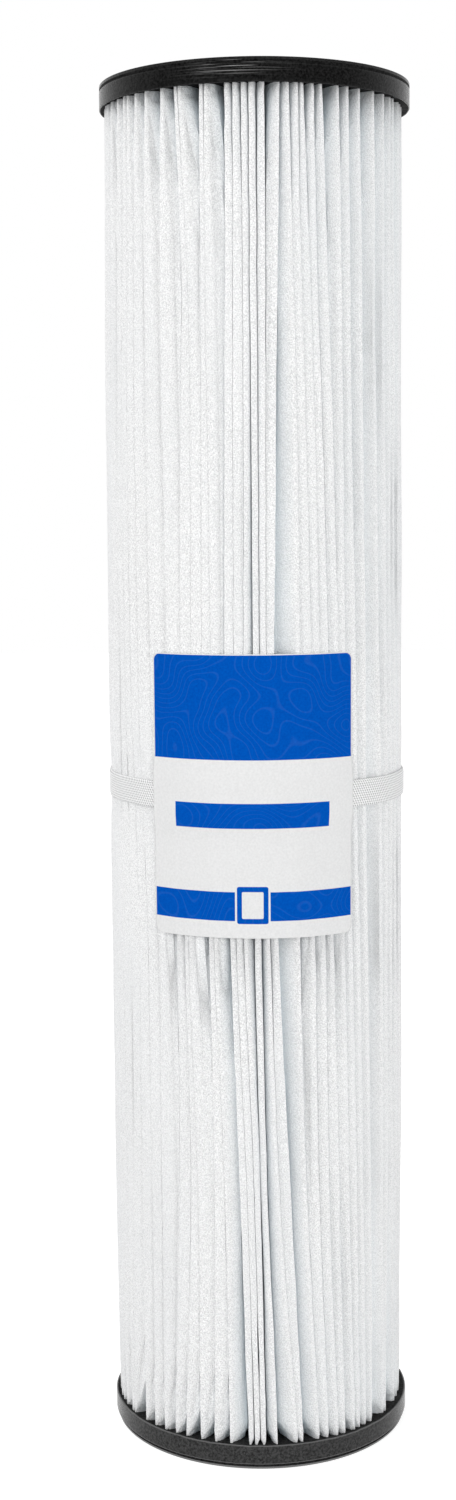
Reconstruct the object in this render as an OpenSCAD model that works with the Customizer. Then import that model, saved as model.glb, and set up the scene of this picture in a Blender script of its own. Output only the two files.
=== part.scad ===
// Pleated water filter cartridge: a folded non-woven sheet round a perforated
// core, cast into a soft plastic cap at each end, with a woven belly band and
// a wrap label. Millimetres, standing on the bottom cap's face at z = 0.
// Angles count from the front (-Y) and grow towards +X.

/* [Cartridge] */
// Overall height, from cap face to cap face
cartridge_height = 508; // [300:1:762]

/* [End caps] */
// Outside diameter of a cap
cap_d = 114.3; // [106:0.1:130]
// Height of a cap, from its face to the top of its wall
cap_h = 9.4; // [8:0.1:14]
// Height of the thin lip at a cap's face
lip_h = 1.8; // [1.2:0.1:2.6]
// How far the lip stands in from the cap's wall
lip_inset = 1; // [0.6:0.1:2]
// Depth of the groove between the lip and the wall
lip_groove = 0.4; // [0.2:0.1:0.6]
// How far the wall's edge rises above the cast surface inside it
meniscus_h = 0.5; // [0.2:0.1:0.8]
// How wide the curve is where the cast surface climbs the wall
meniscus_w = 0.9; // [0.4:0.1:1.5]
// Diameter of the hole through a cap
cap_bore_d = 28; // [20:0.1:30]
// Width of the flat seal land round that hole
seal_land_w = 10; // [6:0.5:14]
// Width of the flat ring that the cap stands on, at its lip
foot_ring_w = 8; // [4:0.5:12]
// Depth of the recess between the seal land and the foot ring
face_recess = 0.8; // [0.4:0.1:1.2]
// Chamfer on the cap's edges
cap_edge = 0.4; // [0.2:0.1:0.5]
// How deep the sheet and the core are cast into a cap
potting_depth = 4; // [2:0.1:5]

/* [Pleated media] */
// Number of pleats
pleat_count = 72; // [48:1:76]
// How far the pleat tips stand in from the cap's wall
pleat_inset = 2.15; // [1.5:0.05:4]
// Thickness of the non-woven sheet
media_t = 0.6; // [0.4:0.05:0.7]
// Depth over which a pleat narrows to its tip
tip_depth = 5; // [3:0.5:8]
// Gap between neighbouring pleats behind their tips
pleat_gap = 0.5; // [0.3:0.1:0.8]
// How far a pleat's tip leans to either side of its even place
tip_lean = 0.35; // [0:0.05:0.5]

/* [Side seam] */
// Place of the seam round the cartridge, in degrees from the front
seam_angle = -2.5; // [-180:0.5:180]
// Thickness of the hot-melt strip between the sheet's two ends
seam_t = 0.8; // [0.5:0.1:1]
// Depth of that strip, outward from the inner folds
seam_depth = 14; // [6:0.5:20]

/* [Core] */
// Outside diameter of the core tube
core_d = 40; // [38:0.1:44]
// Wall of the core tube
core_wall = 2.5; // [1.6:0.1:3]
// Clearance between the core and the pleats' inner folds
core_gap = 0.3; // [0.2:0.05:0.6]
// Width of a window in the core
window_w = 8; // [4:0.5:9]
// Height of a window
window_h = 15; // [8:0.5:18]
// Height of the solid ring between two rows of windows
window_web = 6; // [4:0.5:12]
// Windows round the core, in opposite pairs
window_pairs = 4; // [2:1:4]
// Height of the coupling ring inside the middle of the core
coupling_h = 22; // [12:1:40]
// Wall of the coupling ring
coupling_wall = 1.8; // [1.2:0.1:2.2]
// Height of the rib on the coupling, between the two core sections
coupling_rib_h = 2; // [1:0.5:4]
// Clearance between the coupling and the core
coupling_gap = 0.1; // [0.05:0.05:0.3]

/* [Belly band] */
// Width of the woven tape
band_w = 10.2; // [6:0.1:20]
// Thickness of the tape
band_t = 0.8; // [0.5:0.1:1.2]
// Height of its centre above the cartridge's middle
band_rise = -2.6; // [-30:0.1:30]
// Clearance between the tape and the pleat tips
band_gap = 0.1; // [0.05:0.05:0.3]
// Place of the lap at the tape's ends, in degrees from the front
lap_angle = 168; // [100:1:220]
// Length of the lap
lap_length = 26; // [15:1:40]
// Thickness of the glue between the tape's two ends
glue_t = 0.3; // [0.2:0.05:0.5]

/* [Label] */
// Width of the label, measured round the pleats
label_w = 78; // [40:0.5:110]
// Height of the label
label_h = 102.6; // [60:0.1:150]
// Thickness of the label
label_t = 0.3; // [0.2:0.05:0.5]
// Radius of the label's corners
label_corner = 3; // [1:0.5:8]
// Place of the label's centre line, in degrees from the front
label_angle = -2; // [-60:1:60]
// Height of its centre above the cartridge's middle
label_rise = -2.2; // [-20:0.1:20]
// Length of the slope where the label climbs over the band
label_slope = 5; // [2:0.5:8]
// Clearance under the label
label_gap = 0.1; // [0.05:0.05:0.3]

/* [Hidden] */
$fn = 96;
eps = 0.01;   // a cut runs this far past its surface

cap_r = cap_d / 2;
lip_r = cap_r - lip_inset;
bore_r = cap_bore_d / 2;
middle_z = cartridge_height / 2;

cast_z = cap_h - meniscus_h;           // the cast surface, above the cap's face
potting_z = cast_z - potting_depth;    // the end of the sheet and of the core
potted_h = cartridge_height - 2 * potting_z;

core_r = core_d / 2;
core_bore_r = core_r - core_wall;
coupling_r = core_bore_r - coupling_gap;
section_h = (potted_h - coupling_rib_h) / 2;

media_r = cap_r - pleat_inset;         // the pleat tips
fold_r = core_r + core_gap;            // the inner folds
pitch = 360 / pleat_count;
pleat_half = pitch / 2 - tip_lean - arc(pleat_gap / 2, media_r);

band_r = media_r + band_gap;
band_z = middle_z + band_rise;
band_over_r = band_r + band_t;
label_z = middle_z + label_rise;
label_r = media_r + label_gap;
label_over_r = band_over_r + label_gap;
label_span = arc(label_w, label_r);

// Degrees that a length takes up along a circle of radius r
function arc(length, r) = length / r * 180 / PI;

// A point at radius r and angle a from the front
function polar(r, a) = [r * sin(a), -r * cos(a)];

// A point at radius r, a length s to the side of the direction a
function beside(r, a, s) = polar(r, a) + s * [cos(a), sin(a)];

// The lean of pleat i, a few tenths of a degree either way
function lean(i) = tip_lean * sin(137 * i);

// How a pleat narrows to its tip, from its shoulder out. Each row has the share
// of tip_depth, the share of the half width, and the shares of the sheet's
// thickness that the inner side lies to the side and inward.
TIP = [[1, 1, 1, 0], [0.3, 0.78, 1, 0.3], [0, 0.32, 0.5, 1]];

function reversed(list) = [for (i = [len(list) - 1 : -1 : 0]) list[i]];

// One side of a tip at angle a, t inside its outer surface
function tip_side(a, side, t) = [for (row = TIP)
    polar(media_r - tip_depth * row[0] - t * row[3],
          a + side * (pleat_half * row[1] - arc(t * row[2], media_r)))];

// The even place of pleat i, and the place of its leaning tip
function pleat_a(i) = seam_angle + pitch * (i + 0.5);
function tip_a(i) = pleat_a(i) + lean(i);

// The tip of pleat i from one shoulder to the other, t inside its outer side
function tip(i, t) = concat(tip_side(tip_a(i), -1, t), reversed(tip_side(tip_a(i), 1, t)));

// A fold round the core, before pleat i: its bottom on the outer side, and its
// two corners on the inner side
function valley(i) = [polar(fold_r + media_t, pleat_a(i - 0.5))];
function fold(i) = [for (side = [-1, 1])
    polar(fold_r, pleat_a(i - 0.5) + side * arc(media_t, fold_r))];

// The outer and the inner side of all the pleats, from one end to the other
last = pleat_count - 1;
outside = concat([for (i = [0 : last - 1]) each concat(tip(i, 0), valley(i + 1))], tip(last, 0));
inside = concat([for (i = [0 : last - 1]) each concat(tip(i, media_t), fold(i + 1))],
                tip(last, media_t));

// The sheet's two ends stand at the seam. A corner of one is a distance s from
// the seam's middle, on side 1 or -1.
function seam_foot(side, s) = beside(fold_r, seam_angle, side * s);

// Where the hot-melt strip ends, on the outer side of the pleat next to it
function strip_end(side) = let (
    foot = seam_foot(side, seam_t / 2),
    shoulder = side > 0 ? outside[0] : outside[len(outside) - 1])
    foot + (shoulder - foot) * seam_depth / (media_r - tip_depth - fold_r);

// The whole sheet seen from above: out along the outer side and back along
// the inner one
module media_section() {
    polygon(concat(
        [seam_foot(1, seam_t / 2)], outside, [seam_foot(-1, seam_t / 2)],
        [seam_foot(-1, seam_t / 2 + media_t)], reversed(inside),
        [seam_foot(1, seam_t / 2 + media_t)]));
}

module pleated_media() {
    color("white")
        translate([0, 0, potting_z])
            linear_extrude(potted_h)
                media_section();
}

module side_seam() {
    color("ivory")
        translate([0, 0, potting_z])
            linear_extrude(potted_h)
                polygon([seam_foot(1, seam_t / 2), strip_end(1),
                         strip_end(-1), seam_foot(-1, seam_t / 2)]);
}

// The sheet and its seam as one closed ring, which a cap is cast round
module sheet_and_seam() {
    translate([0, 0, potting_z]) difference() {
        linear_extrude(potted_h)
            polygon(concat([strip_end(1)], outside, [strip_end(-1)]));
        translate([0, 0, -eps])
            linear_extrude(potted_h + 2 * eps)
                polygon(concat([seam_foot(1, seam_t / 2 + media_t)], inside,
                               [seam_foot(-1, seam_t / 2 + media_t)]));
    }
}

module ring(outer_r, inner_r, h) {
    difference() {
        cylinder(r = outer_r, h = h);
        translate([0, 0, -eps]) cylinder(r = inner_r, h = h + 2 * eps);
    }
}

// The cast cap without its pockets, lying on its face
module cap_body() {
    land_r = bore_r + seal_land_w;
    foot_r = lip_r - foot_ring_w;
    rotate_extrude()
        polygon([
            [bore_r, cast_z], [bore_r, cap_edge], [bore_r + cap_edge, 0], [land_r, 0],
            [land_r + face_recess, face_recess], [foot_r - face_recess, face_recess],
            [foot_r, 0], [lip_r - cap_edge, 0], [lip_r, cap_edge],
            [lip_r, lip_h - lip_groove], [lip_r - lip_groove, lip_h],
            [cap_r - cap_edge, lip_h], [cap_r, lip_h + cap_edge],
            [cap_r, cap_h - meniscus_h * 0.3], [cap_r - meniscus_w * 0.2, cap_h],
            [cap_r - meniscus_w * 0.5, cap_h - meniscus_h * 0.6],
            [cap_r - meniscus_w, cast_z]]);
}

// What stands in the caps' pockets: the sheet, its seam and the core's wall
module potted_parts() {
    sheet_and_seam();
    translate([0, 0, potting_z]) ring(core_r, core_bore_r, potted_h);
}

module bottom_end_cap() {
    color("#2b2b2c") difference() {
        cap_body();
        potted_parts();
    }
}

module top_end_cap() {
    color("#2b2b2c") difference() {
        translate([0, 0, cartridge_height]) mirror([0, 0, 1]) cap_body();
        potted_parts();
    }
}

// One moulded half of the core, standing on z = 0. Its windows keep one web
// clear of both ends and of the potting.
module core_section() {
    clear_h = section_h - potting_depth - coupling_h / 2 - window_web;
    rows = floor(clear_h / (window_h + window_web));
    first_z = potting_depth + window_web;
    difference() {
        ring(core_r, core_bore_r, section_h);
        for (row = [0 : rows - 1], pair = [0 : window_pairs - 1])
            rotate(180 / window_pairs * (pair + (row % 2) / 2))
                translate([-window_w / 2, -core_d, first_z + row * (window_h + window_web)])
                    cube([window_w, 2 * core_d, window_h]);
    }
}

module core_lower() {
    color("whitesmoke") translate([0, 0, potting_z]) core_section();
}

module core_upper() {
    color("whitesmoke")
        translate([0, 0, cartridge_height - potting_z]) mirror([0, 0, 1]) core_section();
}

module core_coupling() {
    color("gainsboro") {
        difference() {
            union() {
                translate([0, 0, middle_z - coupling_h / 2])
                    cylinder(r = coupling_r, h = coupling_h);
                translate([0, 0, middle_z - coupling_rib_h / 2])
                    cylinder(r = core_r, h = coupling_rib_h);
            }
            translate([0, 0, middle_z - coupling_h / 2 - eps])
                cylinder(r = coupling_r - coupling_wall, h = coupling_h + 2 * eps);
        }
    }
}

// A length of tape between two radii, from angle a over a span of degrees
module band_arc(inner_r, outer_r, a, span) {
    translate([0, 0, band_z - band_w / 2])
        rotate(a - 90)
            rotate_extrude(angle = span)
                translate([inner_r, 0]) square([outer_r - inner_r, band_w]);
}

module belly_band() {
    lap_span = arc(lap_length, band_over_r);
    step_span = arc(band_t, band_over_r);
    lap_r = band_over_r + glue_t;
    color("white") {
        translate([0, 0, band_z - band_w / 2]) ring(band_over_r, band_r, band_w);
        band_arc(lap_r, lap_r + band_t, lap_angle, lap_span);
        band_arc(band_over_r - eps, lap_r + band_t, lap_angle, step_span);
    }
}

// The glue fills the lap from its step to its free end
module band_glue() {
    lap_span = arc(lap_length, band_over_r);
    step_span = arc(band_t, band_over_r);
    color("ivory")
        band_arc(band_over_r, band_over_r + glue_t, lap_angle + step_span, lap_span - step_span);
}

// The label's outline seen from the front: a rectangle with round corners
module label_outline() {
    half_w = label_over_r * sin(label_span / 2) - label_corner;
    half_h = label_h / 2 - label_corner;
    polygon([for (corner = [[1, 1, 0], [-1, 1, 90], [-1, -1, 180], [1, -1, 270]], step = [0 : 5])
        [corner[0] * half_w, corner[1] * half_h]
            + label_corner * [cos(corner[2] + step * 18), sin(corner[2] + step * 18)]]);
}

// The label before its corners are cut, a shell that steps out over the band
module label_shell() {
    low = label_z - label_h / 2 - eps;
    high = label_z + label_h / 2 + eps;
    band_low = band_z - band_w / 2;
    band_high = band_z + band_w / 2;
    over = label_over_r;
    spare = 2;   // degrees of shell past each side, for the outline to cut
    rotate(label_angle - label_span / 2 - spare - 90)
        rotate_extrude(angle = label_span + 2 * spare)
            polygon([
                [label_r, low], [label_r + label_t, low],
                [label_r + label_t, band_low - label_slope],
                [over + label_t, band_low], [over + label_t, band_high],
                [label_r + label_t, band_high + label_slope],
                [label_r + label_t, high], [label_r, high],
                [label_r, band_high + label_slope],
                [over, band_high + label_gap], [over, band_low - label_gap],
                [label_r, band_low - label_slope]]);
}

module label() {
    color("royalblue") intersection() {
        label_shell();
        rotate(label_angle)
            translate([0, 0, label_z])
                rotate([90, 0, 0])
                    linear_extrude(cap_d)
                        label_outline();
    }
}

bottom_end_cap();
top_end_cap();
pleated_media();
side_seam();
core_lower();
core_upper();
core_coupling();
belly_band();
band_glue();
label();
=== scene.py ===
# %% [markdown]
# # Dressing a pleated filter cartridge
#
# The cartridge stands upright on its bottom cap. A white sheet is folded into 72 pleats round a
# perforated core. A black cap is cast on each end, a woven band goes round the middle, and a
# printed label is wrapped over the front.
#
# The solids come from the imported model, which is loaded first as a fixed frame. The stiff moulded
# core keeps its own mesh and gets a better finish. The soft and the cast pieces are made again
# here as surfaces, because a real sheet wanders and a real casting isn't perfectly level.
#
# Shapes below are in millimetres and degrees, and go into a mesh in metres. Angles count from the
# front (-Y) and grow towards +X.

# %% Load the frame
from math import radians, tau

import bpy
import numpy as np
from mathutils import Matrix, Vector


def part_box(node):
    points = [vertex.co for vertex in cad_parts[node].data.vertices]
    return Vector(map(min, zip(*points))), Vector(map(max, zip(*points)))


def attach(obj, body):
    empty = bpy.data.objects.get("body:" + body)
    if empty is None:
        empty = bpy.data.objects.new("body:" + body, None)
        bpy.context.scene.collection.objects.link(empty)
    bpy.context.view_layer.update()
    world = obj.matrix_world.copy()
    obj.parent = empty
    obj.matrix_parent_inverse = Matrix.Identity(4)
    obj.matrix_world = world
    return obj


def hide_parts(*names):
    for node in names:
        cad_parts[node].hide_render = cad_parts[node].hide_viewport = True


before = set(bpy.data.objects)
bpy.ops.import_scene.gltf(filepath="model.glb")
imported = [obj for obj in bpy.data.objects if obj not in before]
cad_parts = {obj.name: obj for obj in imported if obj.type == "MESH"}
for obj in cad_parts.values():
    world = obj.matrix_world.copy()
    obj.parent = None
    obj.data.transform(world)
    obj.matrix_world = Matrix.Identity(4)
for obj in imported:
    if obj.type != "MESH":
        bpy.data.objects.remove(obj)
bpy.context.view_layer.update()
print("nodes:", ", ".join(sorted(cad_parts)))

# %% [markdown]
# ## The camera
#
# The view is that of a tall product shot. The camera stands 0.79 m in front of the cartridge at
# about two thirds of its height and looks down by seven degrees, so the inside of the bottom cap
# shows and the top cap hides the pleats' upper ends. A yaw and a roll of under a degree finish the
# view. Three turns are multiplied as matrices, because that keeps each one's meaning plain.

# %% Camera
CAMERA_AT = (0.0, -0.7921, 0.359)
YAW, TILT, ROLL = 0.819, 90 - 6.961, -0.399

camera = bpy.data.objects.new("camera", bpy.data.cameras.new("camera"))
camera.data.lens = 50
camera.data.sensor_width = 36
camera.matrix_world = (Matrix.Translation(CAMERA_AT)
                       @ Matrix.Rotation(radians(YAW), 4, "Z")
                       @ Matrix.Rotation(radians(TILT), 4, "X")
                       @ Matrix.Rotation(radians(ROLL), 4, "Z"))
bpy.context.collection.objects.link(camera)
bpy.context.scene.camera = camera
print("camera at", CAMERA_AT, "looking along",
      [round(x, 3) for x in camera.matrix_world.to_quaternion() @ Vector((0, 0, -1))])

# %% [markdown]
# ## Sizes from the frame
#
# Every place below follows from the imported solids, read once as radii and heights. A node's box
# gives its outside radius as half its width, and its lowest and highest points.

# %% Read the sizes
MM = 0.001


def radius(node):
    """Half the width of a node's box along x, in millimetres."""
    low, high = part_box(node)
    return (high[0] - low[0]) / 2 / MM


def heights(node):
    """The lowest and the highest point of a node, in millimetres."""
    low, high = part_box(node)
    return low[2] / MM, high[2] / MM


CAP_R = radius("bottom_end_cap")
CAP_H = heights("bottom_end_cap")[1]
TOP_Z = heights("top_end_cap")[1]
MEDIA_R = radius("pleated_media")
MEDIA_LOW, MEDIA_HIGH = heights("pleated_media")
CORE_R = radius("core_lower")
BAND_LOW, BAND_HIGH = heights("belly_band")
LABEL_LOW, LABEL_HIGH = heights("label")
# The plastic set this far below the edge of a cap's wall
MENISCUS = 0.5
CAST_Z = CAP_H - MENISCUS
# The top cap was filled a little less than the bottom one
TOP_SHALLOW = 0.9
TOP_CAST = TOP_Z - CAST_Z + TOP_SHALLOW
print(f"cap radius {CAP_R:.2f}, cap height {CAP_H:.2f}, top {TOP_Z:.1f}, pleat tips {MEDIA_R:.2f}")
print(f"sheet from {MEDIA_LOW:.1f} to {MEDIA_HIGH:.1f}, band {BAND_LOW:.1f} to {BAND_HIGH:.1f}, "
      f"label {LABEL_LOW:.1f} to {LABEL_HIGH:.1f}")

# %% [markdown]
# ## Surfaces from whole arrays
#
# A new piece is a grid of points worked out by numpy in one go: rows run up the piece and columns
# run round it. These helpers turn such grids into meshes. Doing it with arrays is quick, and the
# formula of each shape stays readable.

# %% Helpers for meshes


def polar(r, angle, z):
    """Points at radius r, angle degrees from the front, and height z, as an array (..., 3)."""
    r, angle, z = np.broadcast_arrays(r, np.radians(angle), z)
    return np.stack([r * np.sin(angle), -r * np.cos(angle), z], axis=-1)


def grid_faces(rows, cols, closed=False, first=0):
    """Quads of a grid whose point (row, col) has the number first + row * cols + col.
    A closed grid joins its last column to its first."""
    row = np.arange(rows - 1)[:, None]
    col = np.arange(cols if closed else cols - 1)[None, :]
    after = (col + 1) % cols
    corners = [row * cols + col, row * cols + after,
               (row + 1) * cols + after, (row + 1) * cols + col]
    return first + np.stack(np.broadcast_arrays(*corners), axis=-1).reshape(-1, 4)


def volume(points, faces):
    """The volume inside a closed mesh, negative where its faces point inwards: the sum over
    triangles of the product a . (b x c) / 6."""
    total = 0.0
    for face in ([faces[:, [0, 1, 2]], faces[:, [0, 2, 3]]] if isinstance(faces, np.ndarray) else
                 [np.array([(f[0], f[k], f[k + 1]) for f in faces for k in range(1, len(f) - 1)])]):
        a, b, c = (points[face[:, k]] for k in range(3))
        total += np.einsum("ij,ij->i", a, np.cross(b, c)).sum() / 6
    return total


def make_piece(name, points, faces, material, uv=None, sharp=None, marks=None):
    """A mesh object at the origin from points in millimetres. uv holds a pair for each point,
    marks names and numbers for each point, and edges sharper than sharp degrees stay crisp."""
    points = np.asarray(points, dtype=float).reshape(-1, 3)
    mesh = bpy.data.meshes.new(name)
    rows = faces.tolist() if isinstance(faces, np.ndarray) else faces
    mesh.from_pydata((points * MM).tolist(), [], rows)
    mesh.shade_smooth()
    if sharp is not None:
        mesh.set_sharp_from_angle(angle=radians(sharp))
    if uv is not None:
        layer = mesh.uv_layers.new(name="flat")
        corner = np.empty(len(mesh.loops), dtype=np.int32)
        mesh.loops.foreach_get("vertex_index", corner)
        flat = np.asarray(uv, dtype=np.float32).reshape(-1, 2)
        layer.data.foreach_set("uv", flat[corner].ravel())
    for mark, values in (marks or {}).items():
        layer = mesh.attributes.new(mark, "FLOAT", "POINT")
        layer.data.foreach_set("value", np.asarray(values, dtype=np.float32).ravel())
    mesh.materials.append(material)
    piece = bpy.data.objects.new(name, mesh)
    bpy.context.collection.objects.link(piece)
    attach(piece, "root")
    print(f"{name}: {len(points)} points, {len(rows)} faces")
    return piece


def through(knots, values, z):
    """Smooth curves through given values: cubic Hermite pieces whose slope at a knot is that of
    the line between its two neighbours. values has a row for each curve, z any heights."""
    knots = np.asarray(knots, dtype=float)
    values = np.asarray(values, dtype=float)
    slope = np.gradient(values, knots, axis=1)
    k = np.clip(np.searchsorted(knots, z) - 1, 0, len(knots) - 2)
    span = knots[k + 1] - knots[k]
    t = np.clip((z - knots[k]) / span, 0, 1)
    return ((2 * t**3 - 3 * t**2 + 1) * values[:, k] + (t**3 - 2 * t**2 + t) * span * slope[:, k]
            + (3 * t**2 - 2 * t**3) * values[:, k + 1] + (t**3 - t**2) * span * slope[:, k + 1])


# %% [markdown]
# ## Helpers for materials
#
# A finish is a Principled shader with textures on its colour, roughness and bump. Numbers that
# are the same all over the piece are set on the shader itself. The patterns read Object
# coordinates, which are metres here, so a scale of 1000 gives grain a millimetre across.

# %% Material helpers


class Finish:
    """A new material with its Principled shader, and short ways to add nodes to it."""

    def __init__(self, name, **settings):
        self.material = bpy.data.materials.new(name)
        self.material.use_nodes = True
        self.nodes = self.material.node_tree.nodes
        self.shader = self.nodes["Principled BSDF"]
        for socket, value in settings.items():
            self.shader.inputs[socket.replace("_", " ")].default_value = value

    def add(self, kind, inputs=None, **settings):
        """A node of that kind. A given input is a number, or the socket that feeds it."""
        node = self.nodes.new(kind)
        for setting, value in settings.items():
            setattr(node, setting, value)
        for socket, value in (inputs or {}).items():
            if isinstance(value, bpy.types.NodeSocket):
                self.material.node_tree.links.new(value, node.inputs[socket])
            else:
                node.inputs[socket].default_value = value
        return node

    def feed(self, socket, source):
        """Links a source to one of the shader's own sockets."""
        self.material.node_tree.links.new(source, self.shader.inputs[socket])

    def place(self, scale=(1, 1, 1), source="Object"):
        """Coordinates of the piece, scaled along its axes."""
        where = self.add("ShaderNodeTexCoord").outputs[source]
        return self.add("ShaderNodeMapping", {"Vector": where, "Scale": scale}).outputs["Vector"]

    def mark(self, name):
        """A number that the mesh carries on each point."""
        return self.add("ShaderNodeAttribute", attribute_name=name).outputs["Fac"]

    def noise(self, where, scale=1.0, detail=2.0, roughness=0.5, distortion=0.0):
        """Cloudy noise from 0 to 1 at those coordinates."""
        return self.add("ShaderNodeTexNoise", {
            "Vector": where, "Scale": scale, "Detail": detail, "Roughness": roughness,
            "Distortion": distortion}).outputs["Fac"]

    def math(self, kind, a, b=0.0, clamp=False):
        """One sum, such as ADD or SINE, on numbers or sockets."""
        return self.add("ShaderNodeMath", {0: a, 1: b}, operation=kind,
                        use_clamp=clamp).outputs["Value"]

    def spread(self, value, low, high, to_low=0.0, to_high=1.0):
        """The value moved from the span low..high to the span to_low..to_high, and clamped."""
        return self.add("ShaderNodeMapRange", {
            "Value": value, "From Min": low, "From Max": high,
            "To Min": to_low, "To Max": to_high}).outputs["Result"]

    def mix(self, share, a, b):
        """A colour between a and b."""
        node = self.add("ShaderNodeMix", data_type="RGBA")
        for socket, value in ((0, share), (6, a), (7, b)):
            if isinstance(value, bpy.types.NodeSocket):
                self.material.node_tree.links.new(value, node.inputs[socket])
            else:
                node.inputs[socket].default_value = value
        return node.outputs[2]

    def bump(self, height, depth, under=None):
        """The surface's normal over bumps depth millimetres high, on top of those under them."""
        inputs = {"Height": height, "Distance": depth * MM, "Strength": 1.0}
        if under is not None:
            inputs["Normal"] = under
        return self.add("ShaderNodeBump", inputs).outputs["Normal"]


def grey(value, blue=0.0):
    """A linear grey, a little bluer by blue."""
    return (value - blue, value - blue * 0.3, value + blue * 0.4, 1.0)


# %% [markdown]
# ## The sheet's finish
#
# The sheet is non-woven polyester: short fibres bonded into a matt white felt with a faint blue
# cast. Close up it has a speckled surface, and across each pleat run fine level creases from the
# folding. A fine noise makes the speckle and a noise squeezed in height makes the creases. A
# third, broad and weak, keeps the white from looking printed.
#
# Two numbers on each point of the mesh change the white, and both paint shade. `deep` says how
# far down a valley it lies, and there the felt is painted bluish, as shade on white polyester
# looks. `shade` is painted shade too: it greys the felt close under the top cap and under the
# label's lower edge, where little light gets in.

# %% Sheet finish


def sheet_finish():
    """White felt: speckle, creases, clouds, then the two marks of painted shade, and bumps in two
    layers.
    """
    f = Finish("filter_nonwoven", Roughness=0.92, Specular_IOR_Level=0.1,
               Subsurface_Weight=0.3, Subsurface_Radius=(1, 1, 1), Subsurface_Scale=0.0012)
    fibres = f.noise(f.place((2300, 2300, 2100)), detail=1.0, roughness=0.6)
    creases = f.noise(f.place((110, 110, 900)), detail=2.0, roughness=0.6, distortion=0.3)
    clouds = f.noise(f.place((40, 40, 14)), detail=2.0)
    speckle = f.mix(f.spread(fibres, 0.38, 0.62), grey(0.69, 0.004), grey(0.98, 0.001))
    tinted = f.mix(f.spread(clouds, 0.3, 0.7, 0.0, 0.5), speckle, grey(0.80, 0.014))
    # Painted shade: bluish down the valleys, grey under the top cap and the label's lower edge
    bluish = f.mix(f.mark("deep"), tinted, (0.70, 0.77, 0.81, 1))
    f.feed("Base Color", f.mix(f.mark("shade"), bluish, grey(0.3)))
    relief = f.bump(creases, 0.2)
    f.feed("Normal", f.bump(fibres, 0.4, under=relief))
    return f.material


SHEET = sheet_finish()

# %% [markdown]
# ## Where the pleats stand
#
# A perfect cartridge would have a pleat every five degrees. A real one doesn't: the folds are held
# only by the caps, the band and each other, so they drift and bunch as they rise. At the front
# they crowd together under the top cap, lean right on their way down, and leave a few dark gaps.
#
# Each front pleat's tip is given at seven heights, from low to high. The rest, round the back,
# share out what room is left, with an uneven spacing from a seeded random draw. A smooth curve
# through the seven heights then gives the tip at any height.

# %% Tips of the front pleats
PLEATS = 72
PITCH = 360 / PLEATS
TIP_HEIGHTS = (10, 100, 200, 300, 370, 440, 500)
FRONT_TIPS = {
    -15: (-74.2, -74.5, -75.0, -76.0, -76.5, -76.0, -75.0),
    -14: (-68.8, -69.0, -69.5, -71.5, -72.0, -70.8, -69.2),
    -13: (-62.8, -63.6, -64.2, -64.5, -64.0, -63.6, -62.2),
    -12: (-60.8, -58.0, -57.0, -60.2, -60.0, -59.0, -57.3),
    -11: (-52.1, -52.0, -51.5, -56.0, -55.8, -55.4, -54.6),
    -10: (-46.0, -45.8, -46.6, -50.9, -50.8, -50.8, -49.6),
    -9: (-40.6, -40.5, -40.2, -43.5, -44.4, -44.8, -44.0),
    -8: (-35.2, -32.2, -31.8, -35.0, -36.4, -37.0, -36.0),
    -7: (-30.2, -26.8, -28.4, -29.2, -28.6, -27.5, -29.8),
    -6: (-23.8, -23.8, -26.8, -25.0, -24.3, -25.2, -28.3),
    -5: (-17.8, -17.0, -18.4, -20.4, -20.0, -19.7, -19.7),
    -4: (-11.6, -12.8, -16.4, -17.0, -17.4, -18.0, -17.8),
    -3: (-4.3, -6.8, -10.2, -11.6, -11.1, -10.4, -10.3),
    -2: (-1.6, -4.0, -7.8, -8.1, -8.0, -7.4, -7.3),
    -1: (1.2, -0.9, -4.8, -4.4, -3.9, -3.8, -4.2),
    0: (6.2, 2.3, -0.2, -0.5, -0.7, -1.0, -1.2),
    1: (14.0, 7.4, 3.8, 2.5, 2.7, 2.9, 3.0),
    2: (16.2, 11.6, 7.0, 5.8, 6.6, 7.7, 8.7),
    3: (23.0, 17.9, 15.3, 15.5, 14.9, 13.3, 12.0),
    4: (27.0, 23.0, 21.3, 20.0, 18.4, 16.4, 15.4),
    5: (31.5, 27.3, 25.7, 23.4, 21.9, 19.7, 17.5),
    6: (34.8, 31.8, 29.3, 27.2, 25.0, 22.8, 21.5),
    7: (40.0, 36.5, 34.5, 31.8, 29.4, 27.0, 25.0),
    8: (42.8, 40.4, 38.2, 34.7, 34.0, 33.1, 32.1),
    9: (46.5, 44.0, 42.0, 39.7, 38.3, 37.3, 36.5),
    10: (50.3, 48.7, 46.5, 45.1, 44.2, 43.2, 42.2),
    11: (59.5, 57.0, 57.0, 53.9, 52.4, 51.2, 50.0),
    12: (61.4, 61.0, 61.0, 60.0, 58.6, 58.0, 57.5),
    13: (72.0, 66.5, 65.6, 64.1, 63.6, 63.2, 63.5),
    14: (77.0, 72.0, 71.0, 69.0, 68.3, 67.5, 66.8),
    15: (82.0, 78.0, 77.0, 76.0, 75.5, 75.0, 74.5),
}
rng = np.random.default_rng(72)


def back_tips(first, last, count):
    """Tips of count pleats between two rows of angles: spacings drawn unevenly, smoothed from
    each height to the next, and scaled to fill the room."""
    draw = rng.normal(size=(count + 1, len(TIP_HEIGHTS)))
    draw = 0.6 * draw[:, :1] + 0.4 * draw
    spacing = np.clip(1 + 0.32 * draw, 0.45, 1.7)
    spacing *= (np.array(last) - np.array(first)) / spacing.sum(axis=0)
    return np.array(first) + np.cumsum(spacing, axis=0)[:-1]


front = np.array([FRONT_TIPS[i] for i in range(-15, 16)])
back = back_tips(front[-1], front[0] + 360, PLEATS - len(front))
# The list starts at pleat 0, right of the seam, and goes round towards +X
tip_rows = np.concatenate([front[15:], back, front[:15] + 360])
print(f"{len(tip_rows)} pleats, spacing from {np.diff(tip_rows, axis=0).min():.1f} "
      f"to {np.diff(tip_rows, axis=0).max():.1f} degrees")

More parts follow.
